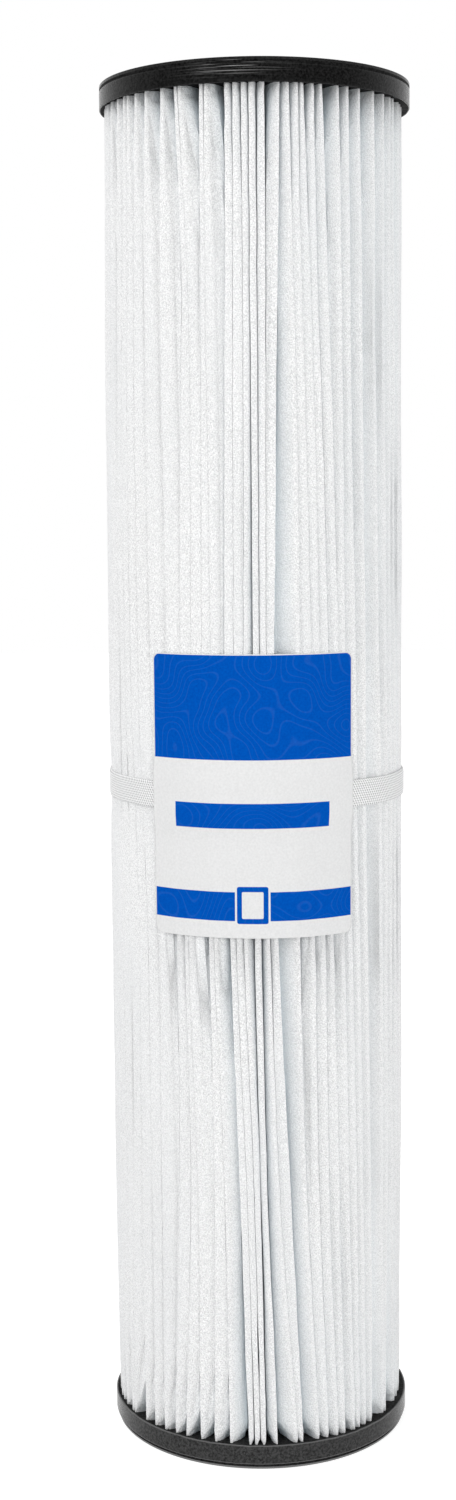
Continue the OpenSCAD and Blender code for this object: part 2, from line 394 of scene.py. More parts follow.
# %% [markdown]
# ## The folded sheet
#
# Seen from above, a pleat is a slim pointed arch: two layers of sheet meet in a tight fold at the
# tip, bow apart, and run in to the folds round the core. So a pleat is drawn as points down its
# two flanks, each a given depth behind the tip and a given distance from the pleat's middle line.
# That line runs straight from the fold at the core to the tip, so a tip that leans shows its
# flank. Where a neighbour is closer than the pleat is wide, the two share the room between them.
#
# At the top cap the pleats are pinched slim where they go into the plastic. At the bottom cap each
# one ends in a pointed foot: it is thinnest at its tip and at the cast level, and widens with
# height and depth like a wedge. The feet differ a little from pleat to pleat.
#
# The same section is worked out at every height as one array. The inner side of the sheet is the
# same curve set in by the sheet's thickness. It is never seen close, so it gets fewer rows, and
# the rims join the two sides into one closed skin.

# %% Heights of the rows
# The sheet's thickness, and the radius of the folds round the core
SHEET_T = 0.55
FOLD_R = CORE_R + 0.3
# The rows are close together near the caps, where the pleats change shape quickly
END_ROWS = np.array([0, 4.2, 6, 8.5, 11.5, 15, 19.5, 25, 31])
row_z = np.concatenate([MEDIA_LOW + END_ROWS,
                        np.linspace(MEDIA_LOW + 38, MEDIA_HIGH - 38, 50),
                        (MEDIA_HIGH - END_ROWS)[::-1]])
print(f"{len(row_z)} rows, {np.diff(row_z).max():.1f} mm apart at most")

# %% Section of the pleats
# How far behind the tip the points of a flank lie, in millimetres
DEPTHS = np.array([0, 0.1, 0.4, 1.0, 2.2, 4.0, 9.0, 24])
# Where a pleat goes up into the top cap, its long and its steep flank are this far from its
# middle line, at each depth. Over TOP_FADE millimetres further down they spread to their free
# shape.
PINCHED_LONG = (0.35, 0.45, 0.6, 0.75, 0.95, 1.1, 1.4, 1.2)
PINCHED_STEEP = (0.3, 0.4, 0.5, 0.6, 0.7, 0.8, 0.9, 1.0)
TOP_FADE = 11
# The half width of a foot at its tip, and how much that grows for each millimetre of depth and
# of height above the bottom cap's cast level
FOOT_TIP, FOOT_BY_DEPTH, FOOT_BY_HEIGHT = 0.2, 0.3, 0.6
# The steep flank of a pleat, on its outer side, reaches this far from its middle line
STEEP_REACH = 0.6
# How sharply the long flanks change from one side to the other at the middle of the front
SWITCH = 14
# How fast a flank spreads, in millimetres for each millimetre of depth. On the left the long
# flanks lie almost flat. Close to a cap, and just under the label, all are deeper.
STEEP_SPREAD, SPREAD_AT_CAP = 1.5, 1.3
LONG_SPREAD_ANGLES = (-180, -100, -30, -12, 0, 10, 22, 40, 180)
LONG_SPREAD = (3, 25, 40, 25, 6, 8, 7, 3.5, 3)
# Half of the crack that is left where two pleats touch
CRACK = 0.012
# The valleys that run in more slowly and so show a soft shadow, by the pleat right of each, as
# pairs of height and spread
SOFT_VALLEYS = {
    -3: ((10, 1.3), (60, 1.6), (100, 2.0), (150, 2.0), (190, 1.2), (220, 1.2), (300, 8.0),
         (350, 9.0), (440, 9.0), (480, 2.5)),
    0: ((120, 1.0), (180, 0.8), (340, 0.9), (430, 1.2), (480, 1.5)),
    1: ((10, 2.0), (50, 1.6), (100, 1.2), (150, 0.9), (190, 0.6), (230, 0.7), (300, 1.4),
        (400, 2.0)),
    3: ((150, 1.5), (220, 1.5), (300, 1.8), (400, 2.0), (480, 1.7)),
}
# Half of the clear gap left of a pleat, as pairs of height and width in millimetres
GAPS = {
    -3: ((10, 0.62), (25, 0.37), (35, 0.05)),
    -2: ((10, 0.31), (20, 0.19), (40, 0.12), (50, 0.04)),
    -1: ((20, 0.19), (30, 0.05), (45, 0.4), (60, 0.05)),
    0: ((10, 0.5), (30, 0.37), (60, 0.53), (80, 0.42), (100, 0.22), (113, 0.04), (125, 0.1),
        (140, 0.26), (160, 0.2), (200, 0.18), (250, 0.2), (303, 0.18), (320, 0.15), (340, 0.12),
        (360, 0.12), (410, 0.12), (425, 0.05)),
    1: ((10, 0.6), (20, 0.2), (60, 0.09), (80, 0.13), (100, 0.18), (120, 0.13), (160, 0.13),
        (200, 0.25), (250, 0.19), (303, 0.1), (340, 0.07), (365, 0.08), (385, 0.12), (412, 0.07),
        (440, 0.12), (460, 0.16), (480, 0.25)),
    2: ((140, 0.05), (180, 0.09), (200, 0.19), (250, 0.05), (440, 0.05), (480, 0.15), (499, 0.31)),
    3: ((120, 0.04), (170, 0.1), (200, 0.15), (303, 0.06), (480, 0.05), (499, 0.15)),
}
# How far the sheet stands out from a true cylinder on its left and its right side, at heights
BULGE_HEIGHTS = (5, 40, 120, 200, 238, 251, 265, 300, 390, 430, 500)
BULGE_LEFT = (0.5, 1.0, 1.3, 1.5, 1.3, 0.75, 1.2, 1.3, 1.3, 0.8, 0.4)
BULGE_RIGHT = (-0.6, -0.3, 0.4, 0, -0.1, -0.1, 0, -0.2, -0.5, -0.7, -0.7)
# Slow swells run aslant over the sheet: waves round it, length, height and phase of each
SWELLS = ((5, 31, 0.09, 0.4), (9, -23, 0.09, 2.0), (14, 17, 0.07, 4.4), (22, -38, 0.05, 1.1))


def bulge(angle, z):
    """The bulge in millimetres: the left side's table times the square of how far left the angle
    lies, the right side's likewise, and the swells."""
    side = np.sin(np.radians(angle))
    left, right = through(BULGE_HEIGHTS, [BULGE_LEFT, BULGE_RIGHT], np.atleast_1d(z).ravel())
    shape = np.shape(np.atleast_1d(z))
    swell = sum(height * np.sin(waves * np.radians(angle) + np.asarray(z) / length + phase)
                for waves, length, height, phase in SWELLS)
    return (np.clip(-side, 0, 1) ** 2 * left.reshape(shape)
            + np.clip(side, 0, 1) ** 2 * right.reshape(shape) + swell)


def over_height(table, z, usual):
    """A row of values over z for each pleat: the usual one, or a line through the pairs of
    height and value that the table gives."""
    rows = np.full((PLEATS, len(z)), float(usual))
    for pleat, pairs in table.items():
        rows[pleat % PLEATS] = np.interp(z, *np.transpose(pairs))
    return rows


def pleat_lines(z):
    """Tip angles and fold angles of all pleats at heights z. A fold stands under the middle of
    the two tips beside it by a bit less than half, and otherwise in its even place."""
    tips = through(TIP_HEIGHTS, tip_rows, z)
    before = np.concatenate([tips[-1:] - 360, tips])
    after = np.concatenate([tips, tips[:1] + 360])
    even = PITCH * (np.arange(PLEATS + 1) - 0.5)[:, None]
    folds = 0.55 * even + 0.45 * (before + after) / 2
    return tips, folds


def unit(v):
    """Vectors of the same directions, one long."""
    return v / np.linalg.norm(v, axis=-1, keepdims=True)


def pleat_sides(z, wobble):
    """Points of the outer and the inner side of every pleat, as arrays (pleat, point, row, 3),
    and the folds between them, as arrays (fold, row, 3)."""
    tips, folds = pleat_lines(z)
    tip_at = polar(MEDIA_R + bulge(tips, z) - wobble[1], tips + wobble[0], 0)
    foot_at = polar(FOLD_R + SHEET_T, (folds[:-1] + folds[1:]) / 2, 0)
    along = unit(foot_at - tip_at)
    aside = np.stack([along[..., 1], -along[..., 0], along[..., 2]], axis=-1)
    # The middle of each pleat at each depth, and the way to its neighbour's there
    middle = tip_at[:, None] + along[:, None] * DEPTHS[None, :, None, None]
    to_next = np.roll(middle, -1, axis=0) - middle
    room = np.abs(np.einsum("pdrk,prk->pdr", to_next, aside))
    # What the gap right of each pleat is like
    gap = np.roll(over_height(GAPS, z, CRACK), -1, axis=0)[:, None]
    soft = np.roll(over_height(SOFT_VALLEYS, z, np.nan), -1, axis=0)[:, None]
    # Which flank beside that gap is the long one: 1 right of the front, -1 left of it
    between = (tips + np.concatenate([tips[1:], tips[:1] + 360])) / 2
    turn = np.tanh(SWITCH * np.sin(np.radians(between)))[:, None]
    short = np.minimum(STEEP_REACH, 0.45 * room)
    share = room / 2 - turn * (room / 2 - short)
    # How far each row is from the two cast levels, and how much the top cap still pinches it.
    # On the right that reaches further down.
    below, above = np.abs(TOP_CAST - z), np.maximum(z - CAST_Z, 0)
    right = np.sin(np.radians(between))[:, None]
    pinch = np.exp(-below / (TOP_FADE + 6 * right))
    from_front = (between + 180) % 360 - 180
    # 0 in the middle of the front, where pleats point at the viewer, and 1 from 20 degrees on
    aslant = np.clip((np.abs(from_front) - 12) / 8, 0, 1)[:, None]
    # How close the row is to a cap, or to the label's lower edge, whose middle is at -2 degrees
    # and which ends 35 degrees from there
    from_label = (between + 182) % 360 - 180
    under_label = (np.exp(-np.maximum(LABEL_LOW - z, 0) / 16) * (z < BAND_LOW)
                   / (1 + np.exp((np.abs(from_label) - 35)[:, None] / 2)))
    near = np.exp(-below / (22 + 6 * right)) + 0.7 * np.exp(-above / 12) + 0.8 * under_label
    depth = DEPTHS[None, :, None]
    spread = np.interp(from_front, LONG_SPREAD_ANGLES, LONG_SPREAD)[:, None]
    spread = np.where(np.isnan(soft), 1 / (1 / spread + near * (1 / SPREAD_AT_CAP - 1 / spread)),
                      soft)

    def reach(limit, long_side):
        """Half width of a flank: it spreads with depth and stops short of its limit by the gap,
        which closes with depth. Near the top cap it is slim instead, and near the bottom cap it
        is no wider than the foot. long_side is 1 where the flank is the long one, -1 where it is
        the steep one."""
        slope = spread + np.clip(-long_side, 0, 1) * (STEEP_SPREAD - spread)
        limit = np.maximum(limit - np.maximum(gap * np.exp(-depth / 3), CRACK), 0.25)
        free = 0.35 + slope * depth + 0.25 * np.minimum(depth, 0.1) / 0.1
        slim = (np.array(PINCHED_STEEP)[None, :, None]
                + (1 + long_side) / 2 * np.subtract(PINCHED_LONG, PINCHED_STEEP)[None, :, None]
                + 0.35 * (1 - aslant) * depth)
        width = np.minimum(free, limit) * (1 - pinch) + np.minimum(slim, limit) * pinch
        uneven = 1 + 0.35 * np.sin(5.1 * np.arange(PLEATS))[:, None, None]
        foot = FOOT_TIP + uneven * (FOOT_BY_DEPTH * depth + FOOT_BY_HEIGHT * above)
        return np.minimum(width, foot)

    after = reach(share, -turn)
    before = np.roll(reach(room - share, turn), 1, axis=0)

    def flank(width, sign, inward):
        """Points down one flank. The shallow ones follow the cylinder and not the pleat's own
        frame, so where a long flank meets the next tip it lies no deeper than its depth."""
        across = np.maximum(width - inward, 0.05) if inward else width
        drop = np.where(DEPTHS < 0.3, inward, 0)[None, :, None]
        points = (middle + along[:, None] * drop[..., None]
                  + sign * aside[:, None] * across[..., None])
        r = np.hypot(points[..., 0], points[..., 1])
        angle = np.degrees(np.arctan2(points[..., 0], -points[..., 1]))
        level = (MEDIA_R + bulge(angle, z) - depth - drop
                 - wobble[1][:, None] * np.exp(-across))
        points[..., :2] *= (1 + np.exp(-depth / 1.5) * (level / r - 1))[..., None]
        return points

    sides = []
    for inward in (0.0, SHEET_T):
        left, right = flank(before, -1, inward), flank(after, 1, inward)
        sides.append(np.concatenate([left[:, ::-1], right], axis=1))
    fold_lines = [polar(r, folds, 0) for r in (FOLD_R + SHEET_T, FOLD_R)]
    for part in sides + fold_lines:
        part[..., 2] = z
    return sides, fold_lines


# %% [markdown]
# The columns are put in order round the cartridge: the sheet's first end at the seam, then the
# points of each pleat and the fold after it, and the sheet's other end. `aside` points towards
# growing angles, so the columns run that way too.

# %% Build the sheet
SEAM_HALF = 0.4


def beside(r, angle, shift):
    """Points at radius r and angle, moved sideways by shift millimetres."""
    return polar(r, angle, 0) + shift * polar(1, angle + 90, 0)


def sheet_side(side, fold_line, shift, z):
    """One side of the sheet as a grid (row, column, 3). Its two ends stand shift from the
    middle of the seam."""
    folds = pleat_lines(z)[1]
    body = np.concatenate([side, fold_line[1:, None]], axis=1).reshape(-1, len(z), 3)[:-1]
    ends = [beside(FOLD_R, folds[0], shift), beside(FOLD_R, folds[-1], -shift)]
    for end in ends:
        end[..., 2] = z
    return np.concatenate([ends[0][None], body, ends[1][None]]).transpose(1, 0, 2)


def soft_shade(points, deep):
    """How much painted shade greys the felt, each term fading with the distance to its edge: a dark
    line right under the top cap; a wider veil there, stronger to the right and down the valleys;
    and a veil under the label, within 36 degrees of the front."""
    angle = np.degrees(np.arctan2(points[:, 0], -points[:, 1]))
    below_cap = np.abs(TOP_CAST - points[:, 2])
    below_label = np.abs(LABEL_LOW - points[:, 2])
    to_right = np.clip((angle - 15) / 45, 0, 1)
    return (0.36 * np.exp(-below_cap / 3.5)
            + np.exp(-below_cap / 8) * (0.06 + 0.28 * to_right + 0.25 * deep)
            + 0.3 * np.exp(-below_label / 8) * (np.abs(angle) < 36))


def build_sheet():
    """Two grids, the outer side with all rows and the inner side with few. Strips of quads join
    their rims, and a many-sided face joins each stretch between two rows at the sheet's ends."""
    jitter = np.stack([rng.normal(0, 0.07, (PLEATS, len(row_z))),
                       np.abs(rng.normal(0, 0.06, (PLEATS, len(row_z))))])
    sides, fold_lines = pleat_sides(row_z, jitter)
    outer = sheet_side(sides[0], fold_lines[0], SEAM_HALF, row_z)
    inner = sheet_side(sides[1], fold_lines[1], SEAM_HALF + SHEET_T, row_z)
    few = np.unique(np.r_[0, 3, np.arange(8, len(row_z) - 8, 8), len(row_z) - 9,
                          len(row_z) - 4, len(row_z) - 1])
    inner = inner[few]
    rows, cols = outer.shape[:2]
    start = rows * cols
    outer_faces = grid_faces(rows, cols)
    inner_faces = grid_faces(len(few), cols, first=start)[:, ::-1]
    col = np.arange(cols - 1)
    low = np.stack([start + col, start + col + 1, col + 1, col], axis=-1)
    high_out, high_in = (rows - 1) * cols + col, start + (len(few) - 1) * cols + col
    high = np.stack([high_out, high_out + 1, high_in + 1, high_in], axis=-1)
    ends = []
    for column, step in ((0, 1), (cols - 1, -1)):
        for k in range(len(few) - 1):
            long_side = [int(r) * cols + column for r in range(few[k], few[k + 1] + 1)]
            short_side = [start + (k + 1) * cols + column, start + k * cols + column]
            ends.append((long_side + short_side)[::step])
    quads = np.concatenate([outer_faces, inner_faces, low, high])
    points = np.concatenate([outer.reshape(-1, 3), inner.reshape(-1, 3)])
    faces = quads.tolist() + ends
    print(f"sheet: {volume(points, faces) / 1000:.0f} cm3 of felt")
    # Painted shade for the finish: bluish in the valleys, and grey under the top cap and the label
    deep = np.clip((MEDIA_R - np.hypot(points[:, 0], points[:, 1])) / 5, 0, 1)
    return make_piece("media_sheet", points, faces, SHEET, sharp=48,
                      marks={"deep": deep, "shade": soft_shade(points, deep)})


media = build_sheet()
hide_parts("pleated_media")

# %% [markdown]
# ## The side seam
#
# The sheet's two ends are glued together down the whole height with a strip of hot melt. It lies
# deep in the gap right beside the middle of the front. It is a thin wall that follows the same
# wandering fold line as the sheet, so it is swept up along that line.

# %% Hot melt finish and the seam strip
SEAM_DEPTH = 14


def glue_finish():
    """Amber hot melt, a little glossy, with long soft beads."""
    f = Finish("hot_melt", Roughness=0.35, Specular_IOR_Level=0.4, Coat_Weight=0.2)
    beads = f.noise(f.place((500, 500, 160)), detail=2.0)
    f.feed("Base Color", f.mix(beads, (0.62, 0.55, 0.40, 1), (0.72, 0.66, 0.52, 1)))
    f.feed("Normal", f.bump(beads, 0.3))
    return f.material


GLUE = glue_finish()


def build_seam():
    """A wall between two radii: four corners at each height, joined into a closed tube."""
    z = row_z[::4]
    middle = pleat_lines(z)[1][0]
    outer_r = FOLD_R + SEAM_DEPTH
    corners = [beside(r, middle, shift) for r, shift in
               ((outer_r, -0.3), (outer_r, 0.3), (FOLD_R, 0.38), (FOLD_R, -0.38))]
    grid = np.stack(corners, axis=1)
    grid[..., 2] = z[:, None]
    faces = grid_faces(len(z), 4, closed=True).tolist()
    last = (len(z) - 1) * 4
    faces += [[3, 2, 1, 0], [last, last + 1, last + 2, last + 3]]
    points = grid.reshape(-1, 3)
    print(f"seam: {volume(points, faces) / 1000:.1f} cm3 of hot melt")
    return make_piece("seam_strip", points, faces, GLUE, sharp=40)


seam = build_seam()
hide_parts("side_seam")

# %% [markdown]
# ## The caps' finish
#
# The caps are cast plastisol, a soft black plastic. The mould leaves a satin skin with a fine
# grain on the wall and the outside face. The inside set in open air and stays dull. Handling
# leaves thin level scuffs on the front of the top cap and wears the rims of the walls grey. That
# grey on the rims is also a painted highlight, where their edges catch the light.
#
# Three numbers on each point of the mesh say where these are: `wall` for the skin, an edge mark
# for the worn edges and their painted highlight, and `wear` for the scuffs. The skin is a clear
# coat, because its mirror light at a slant is what turns the sides of the caps pale. The bottom
# cap's skin is greyer than the top's: a lighter copy of the same plastisol, which paints the
# brighter light on the bottom cap.

# %% Plastisol finish


def plastisol_finish(name, tone):
    """Black plastic whose skin is a grey of that tone, under a clear coat where `wall` is 1."""
    f = Finish(name, Specular_IOR_Level=0.03, Roughness=0.6, Coat_Roughness=0.18, Coat_IOR=1.19)
    grain = f.noise(f.place(), scale=1150, detail=2.0, roughness=0.7)
    scratches = f.noise(f.place((45, 45, 4000)), detail=2.0, roughness=0.5)
    wear, worn_lit_edge, wall = f.mark("wear"), f.mark("worn_lit_edge"), f.mark("wall")
    lines = f.math("MULTIPLY", f.spread(scratches, 0.56, 0.62), wear)
    skin = f.mix(wall, grey(0.004 + tone * 0.45), grey(tone))
    specks = f.mix(0.09, skin, grey(0.08 + 5 * tone))
    body = f.mix(f.spread(grain, 0.35, 0.65), f.mix(0.7, skin, grey(0)), specks)
    # The grey on the edges is partly wear and partly a painted highlight where they catch the light
    body = f.mix(worn_lit_edge, body, grey(0.2))
    f.feed("Base Color", f.mix(lines, body, grey(0.3)))
    f.feed("Coat Weight", wall)
    relief = f.bump(grain, 0.14, under=f.bump(scratches, 0.05))
    f.feed("Normal", relief)
    f.feed("Coat Normal", relief)
    return f.material


# The bottom cap is a lighter copy of the same plastisol, which paints the brighter light on it
CAP_BOTTOM = plastisol_finish("cap_plastisol", 0.034)
CAP_TOP = plastisol_finish("cap_plastisol_black", 0.005)

# %% [markdown]
# ## The caps
#
# A cap is a round tray. Its outside face has a flat seal land round the bore, a recess, and the
# flat ring it stands on, then a thin lip, a groove, and the plain wall. Inside, the plastisol set
# level round the pleats and crept up the wall by half a millimetre, in a slightly uneven line.
#
# So a cap is a profile turned round the axis, with a small ripple that differs with the angle.
# Each profile point says how much of the ripple it takes.

# %% Profile and ripple
LIP_R = CAP_R - 0.8
# radius, height above the cap's face, share of the ripple
CAP_PROFILE = [
    (14.4, 0.0, 0), (14.1, 0.1, 0), (14.0, 0.4, 0), (14.0, 4.0, 0), (14.0, CAST_Z - 0.5, 0),
    (14.15, CAST_Z - 0.12, 0.3), (14.5, CAST_Z, 0.6), (17.4, CAST_Z + 0.1, 1),
    (19.0, CAST_Z + 0.05, 1), (21.0, CAST_Z + 0.05, 1), (26, CAST_Z - 0.05, 1),
    (32, CAST_Z - 0.1, 1), (38, CAST_Z - 0.1, 1), (43, CAST_Z - 0.1, 1), (47, CAST_Z - 0.05, 1),
    (50, CAST_Z, 1), (52.5, CAST_Z, 1), (54.2, CAST_Z + 0.02, 1), (55.4, CAST_Z + 0.05, 0.9),
    (56.0, CAST_Z + 0.15, 0.8), (56.4, CAST_Z + 0.3, 0.8), (56.65, CAP_H - 0.06, 0.8),
    (56.85, CAP_H, 0.8), (CAP_R - 0.12, CAP_H - 0.04, 0.8), (CAP_R - 0.02, CAP_H - 0.2, 0.8),
    (CAP_R, CAP_H - 0.5, 0.8), (CAP_R, CAP_H - 1.4, 0.3), (CAP_R, 5.0, 0), (CAP_R, 3.4, 0),
    (CAP_R, 2.5, 0), (CAP_R - 0.03, 2.35, 0), (CAP_R - 0.12, 2.22, 0), (CAP_R - 0.35, 2.15, 0),
    (LIP_R - 0.1, 2.13, 0), (LIP_R - 0.5, 2.0, 0), (LIP_R - 0.5, 1.1, 0),
    (LIP_R - 0.1, 0.95, 0), (LIP_R, 0.85, 0), (LIP_R + 0.05, 0.7, 0),
    (LIP_R, 0.4, 0), (LIP_R - 0.07, 0.2, 0), (LIP_R - 0.3, 0.03, 0), (LIP_R - 0.5, 0.0, 0),
    (52, 0.0, 0), (LIP_R - 8, 0.0, 0), (LIP_R - 8.3, 0.1, 0), (LIP_R - 8.8, 0.75, 0),
    (LIP_R - 9.1, 0.8, 0), (37.2, 0.8, 0), (37, 0.75, 0), (36.6, 0.35, 0), (36, 0.3, 0),
    (35.4, 0.35, 0), (35, 0.75, 0), (34.8, 0.8, 0), (25.1, 0.8, 0), (24.8, 0.75, 0),
    (24.1, 0.1, 0), (23.8, 0.0, 0), (19, 0.0, 0),
]


def ripple(angle, r, seed):
    """Uneven height in millimetres: a sum of waves round the cap, five long and six short, each
    with a seeded phase, and turning a little with the radius."""
    draw = np.random.default_rng(seed)
    total = np.zeros(np.broadcast(angle, r).shape)
    for waves, height in zip((3, 5, 8, 13, 19, 31, 43, 57, 68, 83, 97),
                             (0.05, 0.05, 0.05, 0.05, 0.05, 0.04, 0.04, 0.03, 0.03, 0.02, 0.02)):
        phase, twist = draw.uniform(0, tau), draw.uniform(-0.1, 0.1)
        total += height * np.sin(waves * np.radians(angle) + phase + twist * r)
    return total


# %% Build the caps
CAP_STEPS = 300


def build_cap(name, material, seed, shallow=0.0, groove=1.0, upside_down=False, scuff=0.0):
    """The profile turned through CAP_STEPS angles, as rows of the grid. A shallow cap has its
    upper part lowered by that much, groove says how much of its depth the groove keeps, and a
    flatter groove has less grey on its worn edges, grey that is partly a painted highlight.
    Scuffs fade as a bell curve with angle and height."""
    r, h, share = np.array(CAP_PROFILE).T[:, :, None]
    r = np.where((h < 2.3) & (r > 55), CAP_R - groove * (CAP_R - r), r)
    angle = np.linspace(0, 360, CAP_STEPS, endpoint=False)[None, :]
    wall = (r > 56.7) & (h > 2.1) | (h < 1.0)
    # Grey edges, partly wear and partly a painted highlight: the wall's top, its lower edge, the
    # lip
    worn_lit_edge = (0.5 * ((r > 56.6) & (np.abs(h - CAP_H + 0.1) < 0.15))
           + 0.9 * ((r > 56.9) & (np.abs(h - 2.3) < 0.1))
           + 0.9 * ((r > 55.5) & (h < 0.9))) * groove
    lift = share * ripple(angle, r, seed)
    h = np.minimum(h + lift, np.where(share > 0, CAP_H, h)) - shallow * (h > 5.5)
    z = TOP_Z - h if upside_down else h
    points = polar(r, angle, z).reshape(-1, 3)
    rows = len(CAP_PROFILE)
    faces = grid_faces(rows + 1, CAP_STEPS, closed=True) % (rows * CAP_STEPS)
    if volume(points, faces) < 0:
        faces = faces[:, ::-1]
    # Most scuffed at the front, seven degrees left of the middle
    from_scuff = (angle + 7 + 180) % 360 - 180
    wear = scuff * np.exp(-(from_scuff / 12) ** 2 - ((h - 2.8) / 2.4) ** 2) * (r > 55)
    print(f"{name}: {volume(points, faces) / 1000:.0f} cm3")
    marks = {"wear": wear, "wall": wall + 0 * angle, "worn_lit_edge": worn_lit_edge + 0 * angle}
    cap = make_piece(name, points, faces, material, sharp=50, marks=marks)
    return cap


bottom_cap = build_cap("cap_bottom", CAP_BOTTOM, 5)
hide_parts("bottom_end_cap")
top_cap = build_cap("cap_top", CAP_TOP, 9, shallow=TOP_SHALLOW, groove=0.05, upside_down=True,
                    scuff=1.0)
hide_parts("top_end_cap")

# %% [markdown]
# ## The woven band
#
# The band is a stiff white polyester tape, about ten millimetres wide, pulled round the pleats
# and glued where its ends lap at the back. Its weave is a twill: floats of yarn step sideways from
# row to row and make slanting ribs. The ribs are about a millimetre apart, which is big enough
# to shape in the mesh. The lower edge is rounded and stands clear of the pleats. The upper one is
# drawn in between them.

# %% Tape finish
BAND_R, BAND_T = MEDIA_R + 0.1, 0.8
# Where the lap starts and how long it is, in degrees, and how far the tape climbs there
LAP_AT, LAP_SPAN, LAP_RISE = 168, 26, 1.1
# The twill's ribs, from one to the next in millimetres, and how far they step sideways
RIB_PITCH, RIB_SLANT = 1.15, 0.55


def tape_finish():
    """White yarn: the ribs and rows of floats on the tape's flat coordinates, with painted shade
    between them.
    """
    f = Finish("woven_tape", Roughness=0.8, Specular_IOR_Level=0.3)
    along = f.add("ShaderNodeSeparateXYZ", {"Vector": f.place(source="UV")})
    yarn = f.noise(f.place((1800, 1800, 1800)), detail=3.0, roughness=0.6)
    slant = f.math("ADD", along.outputs["X"], f.math("MULTIPLY", along.outputs["Y"], RIB_SLANT))
    ribs = f.math("SINE", f.math("MULTIPLY", slant, tau / RIB_PITCH))
    floats = f.math("SINE", f.math("MULTIPLY", along.outputs["Y"], tau / 0.9))
    weave = f.math("ADD", ribs, f.math("MULTIPLY", floats, 0.7))
    # The grey between the ribs and floats is painted shade in the weave's grooves
    f.feed("Base Color", f.mix(f.spread(weave, -1.1, 0.7), grey(0.46, 0.004), grey(0.95, 0.002)))
    f.feed("Normal", f.bump(yarn, 0.08, under=f.bump(weave, 0.09)))
    return f.material


TAPE = tape_finish()

# %% Build the band


def build_band():
    """A rounded strip carried round the cartridge. It starts under the lap, goes once round, and
    climbs over its own start. Its outer side has the twill's ribs: the sine of the length along
    the tape plus RIB_SLANT times the height on it."""
    angle = np.linspace(LAP_AT + 1, LAP_AT + 360 + LAP_SPAN, 1130)[:, None]
    climb = np.clip((angle - (LAP_AT + 357)) / 3.5, 0, 1)
    base = BAND_R + LAP_RISE * climb**2 * (3 - 2 * climb)
    half = (BAND_HIGH - BAND_LOW) / 2
    across = np.array([-1, -0.97, -0.9, -0.75, -0.6, -0.45, -0.3, -0.15, 0, 0.15, 0.3, 0.45, 0.6,
                       0.75, 0.9, 0.97, 1, 1, 0.9, 0.4, -0.4, -0.9, -1])[None, :]
    # How far each of these points stands out from the pleat tips
    outside = np.r_[0.45, 0.62, 0.74, 0.8, [0.8] * 9, 0.76, 0.6, 0.35, 0.1,
                    -0.25, -0.2, 0, 0, 0, 0.05][None, :]
    length = np.radians(angle) * (BAND_R + BAND_T)
    ribs = np.sin(tau * (length + across * half * RIB_SLANT) / RIB_PITCH) * (outside > 0.7)
    r = base + outside + 0.05 * (ribs - 1)
    middle = (BAND_LOW + BAND_HIGH) / 2
    sway = 0.12 * np.sin(np.radians(angle) * 3 + 1) + 0.06 * np.sin(np.radians(angle) * 11)
    z = middle + across * (half - 0.18) + sway
    r = r + bulge(angle, [middle])
    points = polar(r, angle, z)
    rows, cols = points.shape[:2]
    faces = grid_faces(rows, cols, closed=True).tolist()
    last = (rows - 1) * cols
    faces += [list(range(cols))[::-1], list(range(last, last + cols))]
    points = points.reshape(-1, 3)
    if volume(points, faces) < 0:
        faces = [face[::-1] for face in faces]
    uv = np.stack(np.broadcast_arrays(length, across * half), axis=-1)
    return make_piece("band_tape", points, faces, TAPE, uv=uv, sharp=50)


band = build_band()
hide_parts("belly_band")

# %% [markdown]
# ## The label
#
# The label is a printed paper sheet with round corners, wrapped tight over the pleats and the
# band. It is a shell that bulges over the band and follows the pleat tips very faintly. The print
# is worked out from the sheet's own flat coordinates in millimetres, so its blue fields stay
# crisp: a header, a bar and a bottom stripe with a plain frame in its middle. It carries no words.

# %% Print on the label
LABEL_T = 0.25
LABEL_MID, LABEL_TURN = (LABEL_LOW + LABEL_HIGH) / 2, -2.1
LABEL_W, LABEL_H = 77.4, LABEL_HIGH - LABEL_LOW


def field(f, x, y, centre, size, corner=0.0):
    """1 inside a rectangle with round corners and 0 outside: the usual distance formula, the
    length of what is left of |p - centre| - size / 2 + corner, less corner."""
    far = []
    for value, mid, full in ((x, centre[0], size[0]), (y, centre[1], size[1])):
        away = f.math("ABSOLUTE", f.math("SUBTRACT", value, mid))
        far.append(f.math("SUBTRACT", away, full / 2 - corner))
    outside = f.math("SQRT", f.math("ADD", *[
        f.math("POWER", f.math("MAXIMUM", side, 0.0), 2.0) for side in far]))
    inside = f.math("MINIMUM", f.math("MAXIMUM", *far), 0.0)
    distance = f.math("SUBTRACT", f.math("ADD", outside, inside), corner)
    return f.spread(distance, 0.05, -0.05)


